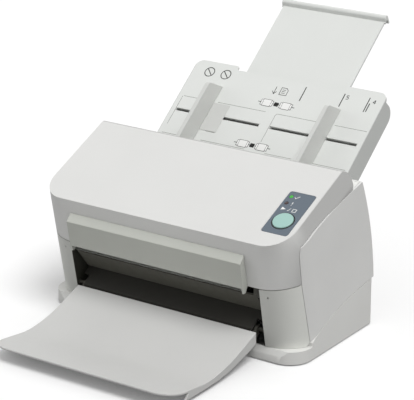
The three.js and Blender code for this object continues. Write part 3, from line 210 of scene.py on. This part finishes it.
def cover_material():
    """The cover's plastic, with painted shade on the band under the top face, deepening along the flanks, and
    painted dark shade on its inner faces in the paper exit.
    """
    n = Nodes("cover_plastic")
    base = toned(n, linear(0xDEDEDC), 0.012)
    above = n.across((0.0, -sin(TOP_SLOPE), cos(TOP_SLOPE)),
                     (0.0, FRONT_TOP[0] * MM + SHIFT_Y, FRONT_TOP[1] * MM))
    # Painted shade: the band under the top face darkens from the front towards the flanks.
    band = n.ramp(above, BAND_SHADE_EDGE[0] * MM, BAND_SHADE_EDGE[1] * MM, 1.0, 0.0, smooth=True)
    behind = n.across((0.0, 1.0, 0.0), (0.0, FRONT_TOP[0] * MM + SHIFT_Y, 0.0))
    flank_shade = n.ramp(behind, FLANK_SHADE_SPAN[0] * MM, FLANK_SHADE_SPAN[1] * MM, *FLANK_SHADE_TONES, smooth=True)
    shade = n.math("SUBTRACT", 1.0, n.math("MULTIPLY", band, n.math("SUBTRACT", 1.0, flank_shade)))
    height = n.across((0.0, 0.0, 1.0), (0.0, 0.0, 0.0))
    # Painted shade: the cover's inner faces below ARM_TOP, inside the paper exit, take the dark colour.
    recess_shade = n.math("MULTIPLY", n.ramp(height, (ARM_TOP - 0.2) * MM, (ARM_TOP + 0.2) * MM, 1.0, 0.0),
                    n.ramp(n.side(), (EXIT_HALF - 0.1) * MM, (EXIT_HALF + 0.1) * MM, 1.0, 0.0))
    n.surface(n.mix(recess_shade, scaled(n, base, shade), linear(DARK_HEX)), 0.5, 0.06, 0.55, 0.2)
    n.shader.inputs["Specular IOR Level"].default_value = 0.35
    return n.material


def pillar_material():
    """The front pillars, with painted shade on the face towards the paper exit and painted shading across
    their rounded fronts.
    """
    n = Nodes("pillar_plastic")
    # Painted shade on the face towards the paper exit.
    inner = n.ramp(n.side(), (EXIT_HALF + 0.03) * MM, (EXIT_HALF + 0.3) * MM, 1.0, 0.0)
    # Painted shading across the rounded front: darker towards the paper exit, lighter towards the side.
    turned = n.ramp(n.side(), PILLAR_SHADE_SPAN[0] * MM, PILLAR_SHADE_SPAN[1] * MM, *PILLAR_SHADE_TONES, smooth=True)
    base = scaled(n, toned(n, linear(0xD8D9D4), 0.012), turned)
    n.surface(n.mix(inner, base, linear(DARK_HEX)), 0.5, 0.06, 0.55, 0.25)
    return n.material


def chute_material():
    """The chute's pale face, with painted shade on its outer side walls."""
    n = Nodes("chute_plastic")
    base = toned(n, linear(0xE2E4E1), 0.012)
    # Painted shade on the outer side walls.
    painted_wall_shade = n.ramp(n.side(), (CHUTE_HALF - 1.2) * MM, (CHUTE_HALF - 0.2) * MM, 1.0, WALL_SHADE_TONE)
    n.surface(scaled(n, base, painted_wall_shade), 0.5, 0.05, 0.55, 0.2)
    n.shader.inputs["Specular IOR Level"].default_value = 0.35
    return n.material


def metal(name, hex_colour, roughness):
    """Drawn or turned metal with fine lines along X."""
    n = Nodes(name)
    n.shader.inputs["Metallic"].default_value = 1.0
    stretched = n.add("ShaderNodeMapping", {"Vector": n.place, "Scale": (30.0, 2500.0, 2500.0)})
    lines = n.add("ShaderNodeTexNoise", {"Vector": stretched.outputs["Vector"], "Scale": 1.0, "Detail": 3.0})
    colour = linear(hex_colour)
    n.join(n.mix(lines.outputs["Fac"], [c * 0.8 for c in colour], colour), n.shader.inputs["Base Color"])
    n.join(n.ramp(lines.outputs["Fac"], 0.3, 0.7, roughness - 0.08, roughness + 0.1),
           n.shader.inputs["Roughness"])
    relief = n.add("ShaderNodeBump", {"Height": lines.outputs["Fac"], "Strength": 0.1, "Distance": 0.00003})
    n.join(relief.outputs["Normal"], n.shader.inputs["Normal"])
    return n.material


def lens(name, hex_colour, glow):
    """A moulded signal lens: a brighter middle seen through a clear skin."""
    n = plastic(name, hex_colour, 0.22, 0.04, 0.4, 0.05, 0.5, 0.08)
    n.shader.inputs["Coat Weight"].default_value = 0.5
    n.shader.inputs["Coat Roughness"].default_value = 0.08
    n.shader.inputs["Emission Color"].default_value = [*linear(hex_colour), 1.0]
    n.shader.inputs["Emission Strength"].default_value = glow
    return n.material


def glass_material():
    n = Nodes("scan_glass")
    n.surface(toned(n, linear(0xC6D2CF), 0.02), 0.06, 0.02, 2.0, 0.02)
    n.shader.inputs["Transmission Weight"].default_value = 0.75
    n.shader.inputs["IOR"].default_value = 1.5
    return n.material


def board_material():
    """Solder mask with fine parallel tracks."""
    n = Nodes("circuit_board")
    wave = n.add("ShaderNodeTexWave", {"Vector": n.place, "Scale": 160.0, "Distortion": 6.0, "Detail": 2.0})
    tracks = n.ramp(wave.outputs["Fac"], 0.75, 0.85, 0.0, 1.0)
    green = toned(n, linear(0x2C6B43), 0.06, 12.0)
    n.surface(n.mix(tracks, green, linear(0x4E8F5E)), 0.4, 0.08, 1.0, 0.1)
    return n.material


MATERIALS = {
    "shell": plastic("shell_plastic", 0xE3E3E1).material,
    "deck": plastic("deck_plastic", 0xF2F2EF).material,
    "cover": cover_material(),
    "chute": chute_material(),
    "base": plastic("base_plastic", 0xE3E3E0).material,
    "pillar": pillar_material(),
    "visor": plastic("visor_plastic", 0xBFC1BA, 0.5).material,
    "tray": plastic("tray_plastic", 0xCECECC, 0.55, 0.05, 0.7, 0.3, 0.3, 0.012).material,
    "guide": plastic("guide_plastic", 0xD3D4D1, 0.5).material,
    "dark": plastic("dark_plastic", DARK_HEX, 0.6, 0.06, 0.6, 0.35, 0.3, 0.05).material,
    "ramp": plastic("ramp_plastic", 0x292824, 0.65, 0.06, 0.6, 0.35, 0.25, 0.05).material,
    "guard": plastic("guard_plastic", 0x55544D, 0.6, 0.06, 0.6, 0.35, 0.3, 0.05).material,
    "black": plastic("black_plastic", 0x1E1E1C, 0.5, 0.06, 0.6, 0.3, 0.3, 0.05).material,
    "rubber": plastic("black_rubber", 0x343436, 0.82, 0.08, 0.9, 0.6, 0.25, 0.08).material,
    "steel": metal("brushed_steel", 0xC0C2C4, 0.34),
    "zinc": metal("zinc_plated_sheet", 0xB2B7BC, 0.42),
    "glass": glass_material(),
    "board": board_material(),
    "panel": plastic("panel_blue", 0x626D78, 0.45, 0.05, 0.4, 0.25, 0.4, 0.02).material,
    "button": plastic("button_green", 0xA4CAC2, 0.35, 0.05, 0.5, 0.12, 0.45, 0.015).material,
    "ready": lens("green_lens", 0x33B033, 0.12),
    "error": lens("dark_red_lens", 0x33120F, 0.0),
    "ink": plastic("print_black", 0x1C1C1A, 0.55, 0.05, 0.3, 0.1, 0.3, 0.06).material,
    "line": plastic("print_grey_and_gap_shadow", 0x83857F, 0.55, 0.05, 0.3, 0.1, 0.3, 0.04).material,
    "pale": plastic("print_pale", 0xF0F0EE, 0.55, 0.05, 0.3, 0.1, 0.3, 0.02).material,
}


# ---------------------------------------------------------------- pieces
def piece(name, mesh, material, body, nodes=()):
    mesh.materials.clear()
    mesh.materials.append(MATERIALS[material])
    mesh.polygons.foreach_set("use_smooth", [True] * len(mesh.polygons))
    obj = bpy.data.objects.new(name, mesh)
    bpy.context.scene.collection.objects.link(obj)
    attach(obj, body)
    if nodes:
        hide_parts(*nodes)
    return obj


def rounded(obj, width_mm, segments=3, angle=28.0):
    """Rounds every edge sharper than the angle, and shades the flats flat."""
    if width_mm:
        bevel = obj.modifiers.new("edges", "BEVEL")
        bevel.width = width_mm * MM
        bevel.segments = segments
        bevel.limit_method = "ANGLE"
        bevel.angle_limit = radians(angle)
        bevel.miter_outer = "MITER_ARC"
        bevel.use_clamp_overlap = True
    weighted = obj.modifiers.new("shading", "WEIGHTED_NORMAL")
    weighted.keep_sharp = True
    return obj


def clean_mesh(node):
    """The node's solid with its corners welded and its flat faces whole."""
    bm = bmesh.new()
    bm.from_mesh(frame["nodes"][node].data)
    bmesh.ops.remove_doubles(bm, verts=bm.verts, dist=0.000004)
    bmesh.ops.dissolve_limit(bm, angle_limit=radians(0.7), verts=bm.verts, edges=bm.edges)
    bm.verts.index_update()
    mesh = bpy.data.meshes.new(node)
    mesh.from_pydata([v.co[:] for v in bm.verts], [], [[v.index for v in f.verts] for f in bm.faces])
    bm.free()
    return mesh


def body_of(node):
    return frame["nodes"][node]["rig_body"]


# node, material, edge radius in mm, segments in the rounding
FINISHES = [
    ("cover_shell", "cover", 1.1, 4), ("exit_visor", "visor", 0.7, 3),
    ("side_panel_left", "shell", 0.35, 3), ("side_panel_right", "shell", 0.35, 3),
    ("front_pillar_left", "pillar", 0.35, 3), ("front_pillar_right", "pillar", 0.35, 3),
    ("base_cover", "base", 0.5, 3), ("rear_panel", "shell", 0.35, 3),
    ("shoulder_left", "deck", 0.5, 3), ("release_lever", "deck", 0.5, 3),
    ("chute_plate", "chute", 0.6, 3), ("chute_back", "shell", 0.3, 2),
    ("chute_extension", "chute", 0.4, 3),
    ("guide_left", "guide", 0.5, 3), ("guide_right", "guide", 0.5, 3),
    ("guide_pinion", "shell", 0.0, 0),
    ("stacker_tray", "tray", 0.7, 3), ("tray_pivot_left", "dark", 0.3, 2),
    ("tray_pivot_right", "dark", 0.3, 2),
    ("operator_panel", "panel", 0.25, 3),
    ("exit_ramp", "ramp", 0.3, 2), ("lower_feed_guide", "dark", 0.3, 2),
    ("lower_scan_housing", "dark", 0.4, 2),
    ("upper_guide", "guard", 0.3, 2), ("upper_scan_housing", "dark", 0.4, 2),
    ("lower_scan_glass", "glass", 0.2, 2), ("upper_scan_glass", "glass", 0.2, 2),
    ("separation_pad", "rubber", 0.4, 2), ("exit_idler", "black", 0.3, 2), ("feed_idler", "black", 0.3, 2),
    ("exit_shaft", "steel", 0.3, 2), ("feed_shaft", "steel", 0.3, 2), ("pick_shaft", "steel", 0.3, 2),
    ("exit_tyre_left", "rubber", 0.5, 3), ("exit_tyre_right", "rubber", 0.5, 3),
    ("feed_tyre_left", "rubber", 0.5, 3), ("feed_tyre_right", "rubber", 0.5, 3),
    ("pick_tyre", "rubber", 0.5, 3),
    ("motor_pulley", "black", 0.3, 2), ("drive_belt", "rubber", 0.2, 2),
    ("transport_belt", "rubber", 0.2, 2),
    ("frame_plate_left", "zinc", 0.2, 2), ("frame_plate_right", "zinc", 0.2, 2),
    ("drive_motor", "zinc", 0.4, 3),
    ("main_board", "board", 0.15, 2), ("usb_port", "steel", 0.2, 2), ("power_jack", "black", 0.25, 2),
    ("cover_pin_left", "steel", 0.2, 2), ("cover_pin_right", "steel", 0.2, 2),
    ("latch_shaft", "steel", 0.3, 2), ("latch_hook_left", "dark", 0.3, 2), ("power_rocker", "black", 0.4, 3),
    ("foot_front_left", "rubber", 0.5, 3), ("foot_front_right", "rubber", 0.5, 3),
    ("foot_rear_left", "rubber", 0.5, 3), ("foot_rear_right", "rubber", 0.5, 3),
]
for node, material, width, segments in FINISHES:
    obj = piece(node + "_skin", clean_mesh(node), material, body_of(node), (node,))
    rounded(obj, width, segments)


# ---------------------------------------------------------------- turned pieces on the top
def turned_rings(bm, section, centre, steps):
    """A ring of corners for each [radius, height] of a section, about a line along the frame's Z axis."""
    turn = [2 * pi * k / steps for k in range(steps)]
    return [[bm.verts.new((centre[0] + radius * cos(a), centre[1] + radius * sin(a), height)) for a in turn]
            for radius, height in section]


def bridge(bm, lower, upper, flip=False):
    """A band of four-sided faces between two loops with the same number of corners."""
    for k in range(len(lower)):
        j = (k + 1) % len(lower)
        quad = (lower[k], lower[j], upper[j], upper[k])
        bm.faces.new(quad[::-1] if flip else quad)


def mesh_of(bm, name, matrix):
    """The finished mesh, moved to its place."""
    bm.transform(matrix)
    mesh = bpy.data.meshes.new(name)
    bm.to_mesh(mesh)
    bm.free()
    return mesh


def lathe(profile, centre, matrix, steps):
    """A closed solid turned from a profile that starts at its underside and ends at its top."""
    bm = bmesh.new()
    rings = turned_rings(bm, profile, centre, steps)
    for lower, upper in zip(rings, rings[1:]):
        bridge(bm, lower, upper)
    bm.faces.new(rings[0][::-1])
    bm.faces.new(rings[-1])
    return mesh_of(bm, "turned", matrix)


def ring_mesh(inner, outer, low, high, centre, matrix, steps):
    """A closed flat ring with a softened outer edge."""
    soft = min(0.3, (outer - inner) / 3)
    section = [(inner, low), (outer, low), (outer, high - soft), (outer - soft, high), (inner, high)]
    bm = bmesh.new()
    rings = turned_rings(bm, section, centre, steps)
    for lower, upper in zip(rings, rings[1:] + rings[:1]):
        bridge(bm, lower, upper)
    return mesh_of(bm, "ring", matrix)


def crowned(radius, low, top, round_by, crown, steps=6):
    """Profile of a button: straight side, rounded shoulder and a slightly crowned top."""
    arc = [(radius - round_by + round_by * cos(a), top - crown - round_by + round_by * sin(a))
           for a in [pi / 2 * k / steps for k in range(steps + 1)]]
    flat = radius - round_by
    dome = [(flat * (1 - k / 5), top - crown + crown * (1 - (1 - k / 5) ** 2)) for k in range(1, 5)]
    return [(radius, low), *arc, *dome, (0.4, top)]


button_profile = [(BUTTON_RADIUS + 2, -6.0), (BUTTON_RADIUS + 2, -2.8), (BUTTON_RADIUS, -2.8),
                  *crowned(BUTTON_RADIUS, -2.6, 1.7, 1.0, 0.35)]
button = piece("start_button_cap", lathe(button_profile, (PANEL_X, BUTTON_UP), ON_SLOPE, 96), "button",
               "start_button", ("start_button",))
rounded(button, 0.0)
for lamp, material in (("ready_lamp", "ready"), ("error_lamp", "error")):
    dome = [(LAMP_RADIUS, -1.0), *crowned(LAMP_RADIUS, -0.9, 0.3, 0.35, 0.25)]
    rounded(piece(lamp + "_lens", lathe(dome, (LAMP_X, LAMPS_UP[lamp]), ON_SLOPE, 32), material,
                  "cover", (lamp,)), 0.0)


# ---------------------------------------------------------------- printed marks
def corners(x0, x1, y0, y1):
    return [(x0, y0), (x1, y0), (x1, y1), (x0, y1)]


class Marks:
    """Thin closed tiles that lie on a flat face, given in mm in that face's frame."""

    def __init__(self, low, high):
        self.bm = bmesh.new()
        self.low, self.high = low, high

    def tile(self, points, hole=None):
        loops = [points] if hole is None else [points, hole]
        rows = [[[self.bm.verts.new((x, y, z)) for x, y in loop] for z in (self.low, self.high)]
                for loop in loops]
        for (lower, upper), inward in zip(rows, (False, True)):
            bridge(self.bm, lower, upper, inward)
        if hole is None:
            self.bm.faces.new(rows[0][0][::-1])
            self.bm.faces.new(rows[0][1])
            return
        for level, flip in ((0, True), (1, False)):
            bridge(self.bm, rows[0][level], rows[1][level], flip)

    def box(self, x0, x1, y0, y1):
        self.tile(corners(x0, x1, y0, y1))

    def frame(self, x0, x1, y0, y1, line):
        self.tile(corners(x0, x1, y0, y1), corners(x0 + line, x1 - line, y0 + line, y1 - line))

    def stroke(self, start, end, line):
        a, b = Vector(start), Vector(end)
        side = (b - a).normalized().orthogonal() * (line / 2)
        points = [tuple(p) for p in (a - side, b - side, b + side, a + side)]
        self.tile(points[::-1] if side.cross(b - a) > 0 else points)

    def strokes(self, points, line):
        for start, end in zip(points, points[1:]):
            self.stroke(start, end, line)

    def ring(self, x, y, radius, line, steps=40):
        turn = [2 * pi * k / steps for k in range(steps)]
        self.tile(*[[(x + r * cos(a), y + r * sin(a)) for a in turn] for r in (radius, radius - line)])

    def finish(self, name, material, body, matrix):
        bmesh.ops.recalc_face_normals(self.bm, faces=self.bm.faces)
        return rounded(piece(name, mesh_of(self.bm, name, matrix), material, body), 0.0)


def up(s):
    """A height on the chute, from its distance to the top edge."""
    return CHUTE_TOP + s


ink = Marks(0.01, 0.1)
for x, s0, s1 in ((24, -28, -10), (70, -25.8, -9.4), (99, -26.6, -8.5), (101.5, -26, -15.3)):
    ink.box(x - 0.5, x + 0.5, up(s0), up(s1))
for x, s in ((-95, -13.5), (-74.5, -13.2)):
    ink.ring(x, up(s), 6.1, 0.9)
    ink.stroke((x - 3.8, up(s + 3.8)), (x + 3.8, up(s - 3.8)), 0.9)
DIGITS = {
    "4": [(2.2, 0), (2.2, 4.6), (0, 1.5), (3, 1.5)],
    "5": [(2.8, 4.6), (0.4, 4.6), (0.2, 2.6), (2.2, 2.7), (2.8, 1.6), (2.2, 0.2), (0, 0.2)],
}
for digit, x, s in (("5", 73.2, -15.5), ("4", 104.4, -15.0)):
    ink.strokes([(x + dx, up(s + ds)) for dx, ds in DIGITS[digit]], 0.65)
# a sheet with a turned-down corner, and an arrow that points down the chute
SHEET = [(-2.5, -25), (-2.5, -16), (3.5, -16), (6, -18.5), (6, -25), (-2.5, -25)]
ink.strokes([(x, up(s)) for x, s in SHEET], 0.55)
for k in range(3):
    ink.stroke((-0.8, up(-18.6 - 2 * k)), (3.4, up(-18.6 - 2 * k)), 0.45)
ink.stroke((-9, up(-16)), (-9, up(-25)), 0.6)
ink.strokes([(-11.5, up(-22)), (-9, up(-25.4)), (-6.5, up(-22))], 0.6)

pale = Marks(0.01, 0.16)
for x, s in ((0.8, -37.5), (-1.3, -91)):
    ink.box(x - 22, x + 22, up(s - 0.35), up(s + 0.35))
    ink.box(x - 2.6, x + 2.6, up(s - 2.4), up(s + 2.4))
    for side in (-1, 1):
        for offset, half_width, half_height in ((11.5, 4.6, 3.9), (5.6, 0.9, 3.1), (17.4, 0.9, 3.1)):
            middle = x + side * offset
            ink.box(middle - half_width - 0.5, middle + half_width + 0.5,
                    up(s - half_height - 0.5), up(s + half_height + 0.5))
            pale.box(middle - half_width, middle + half_width, up(s - half_height), up(s + half_height))
ink.finish("chute_marks", "ink", "chassis", ON_PATH)
pale.finish("chute_drums", "pale", "chassis", ON_PATH)

lines = Marks(0.01, 0.06)
LINE = 0.42
# Printed grey lines; the row at s -97.2 is a painted shadow of the gap along the cover's back edge.
for s, spans in ((-48.5, ((-109, -86), (-66, -6.6), (8.3, 55), (76.5, 113.8))),
                 (-97.2, ((-111, -92), (-62, -8), (17, 49), (74, 112)))):
    for x0, x1 in spans:
        lines.box(x0, x1, up(s) - LINE / 2, up(s) + LINE / 2)
for start, end in (((-110.5, -86), (-110.5, -49)), ((6.3, -85), (6.3, -50.4))):
    lines.stroke((start[0], up(start[1])), (end[0], up(end[1])), LINE)
lines.strokes([(-62, up(-85.4)), (-51, up(-85.4))], LINE)
lines.strokes([(6.3, up(-50.4)), (6.9, up(-49.1)), (8.3, up(-48.5))], LINE)
lines.finish("chute_lines", "line", "chassis", ON_PATH)

slider = Marks(0.12, 0.45)
slider.box(-69.8, -49.5, 206.0, 241.0)
rounded(slider.finish("guide_left_foot", "guide", "guide_left", ON_PATH), 0.12, 2)

symbols = Marks(-0.02, 0.07)
symbols.strokes([(117.6, 70.0), (119.2, 68.2), (122.4, 72.0)], 0.6)
symbols.box(119.3, 120.1, 60.2, 63.0)
symbols.box(119.3, 120.1, 58.4, 59.2)
symbols.tile([(112.6, 50.6), (117.4, 52.6), (112.6, 54.6)])
symbols.stroke((119.8, 50.4), (122.2, 54.8), 0.5)
symbols.frame(124.6, 129.0, 50.4, 54.8, 0.6)
symbols.finish("panel_symbols", "pale", "cover", ON_SLOPE)
# A black ring round the button: the dark gap at its edge and painted shade of the button's side.
gap_and_shade_ring = ring_mesh(BUTTON_RADIUS + 0.35, BUTTON_RADIUS + 1.35, -0.05, 0.25, (PANEL_X, BUTTON_UP), ON_SLOPE, 96)
rounded(piece("button_gap_and_shade_ring", gap_and_shade_ring, "black", "cover"), 0.0)


# ---------------------------------------------------------------- camera
AZIMUTH, ELEVATION = radians(34.56), radians(19.51)
DISTANCE = 1.99396
LENS = 175.17
TARGET = Vector((0.0042, SHIFT_Y, 0.12426))
camera_data = bpy.data.cameras.new("camera")
camera_data.lens = LENS
camera_data.sensor_width = 36.0
camera_data.clip_end = 50.0
camera = bpy.data.objects.new("camera", camera_data)
bpy.context.scene.collection.objects.link(camera)
camera.location = TARGET + DISTANCE * Vector((
    cos(ELEVATION) * sin(AZIMUTH), -cos(ELEVATION) * cos(AZIMUTH), sin(ELEVATION)))
camera.rotation_euler = (pi / 2 - ELEVATION, 0.0, AZIMUTH)
bpy.context.scene.camera = camera


# ---------------------------------------------------------------- light, floor and background
AMBIENT = 0.5
LAMPS = [  # name, brightness towards X, Y and Z, and how wide the lamp looks from the object
    ("key", (0.23, -0.10, 0.48), radians(28)),
    ("fill", (-0.16, -0.07, 0.03), radians(60)),
]
FLOOR_BOUNCE = 0.34  # the floor as the object sees it
FLOOR_TONE, FLOOR_GLOW = 0.92, 0.1  # the floor as the picture shows it
scene = bpy.context.scene
scene.view_settings.view_transform = "Standard"

for name, towards, width in LAMPS:
    towards = Vector(towards)
    lamp_data = bpy.data.lights.new(name, "SUN")
    lamp_data.energy = pi * towards.length
    lamp_data.angle = width
    lamp = bpy.data.objects.new(name, lamp_data)
    scene.collection.objects.link(lamp)
    lamp.rotation_euler = towards.to_track_quat("Z", "Y").to_euler()

world = bpy.data.worlds.new("studio")
scene.world = world
world.use_nodes = True
sky = Tree(world.node_tree)
rays = sky.add("ShaderNodeLightPath").outputs
shiny = sky.math("MAXIMUM", rays["Is Glossy Ray"], rays["Is Transmission Ray"])
seen = sky.math("MAXIMUM", rays["Is Camera Ray"], shiny)
background = world.node_tree.nodes["Background"]
sky.join(sky.ramp(seen, 0.0, 1.0, AMBIENT, 1.0), background.inputs["Strength"])
background.inputs["Color"].default_value = (1.0, 1.0, 1.0, 1.0)


def floor_material():
    """Pale floor: as bright as the background to the camera, and quieter in the light that it throws up."""
    material = bpy.data.materials.new("studio_floor")
    material.use_nodes = True
    material.node_tree.nodes.clear()
    n = Tree(material.node_tree)
    rays = n.add("ShaderNodeLightPath").outputs
    direct = n.math("MAXIMUM", rays["Is Camera Ray"], rays["Is Transmission Ray"])
    diffuse = n.add("ShaderNodeBsdfDiffuse", {"Color": n.ramp(direct, 0.0, 1.0, FLOOR_BOUNCE, FLOOR_TONE)})
    glow = n.add("ShaderNodeEmission", {"Strength": n.math("MULTIPLY", direct, FLOOR_GLOW)})
    both = n.add("ShaderNodeAddShader", {0: diffuse.outputs[0], 1: glow.outputs[0]})
    n.add("ShaderNodeOutputMaterial", {"Surface": both.outputs[0]})
    return material


floor_mesh = bpy.data.meshes.new("floor")
floor_mesh.from_pydata([(-12, -12, 0), (12, -12, 0), (12, 12, 0), (-12, 12, 0)], [], [(0, 1, 2, 3)])
floor_mesh.materials.append(floor_material())
floor = bpy.data.objects.new("floor", floor_mesh)
scene.collection.objects.link(floor)
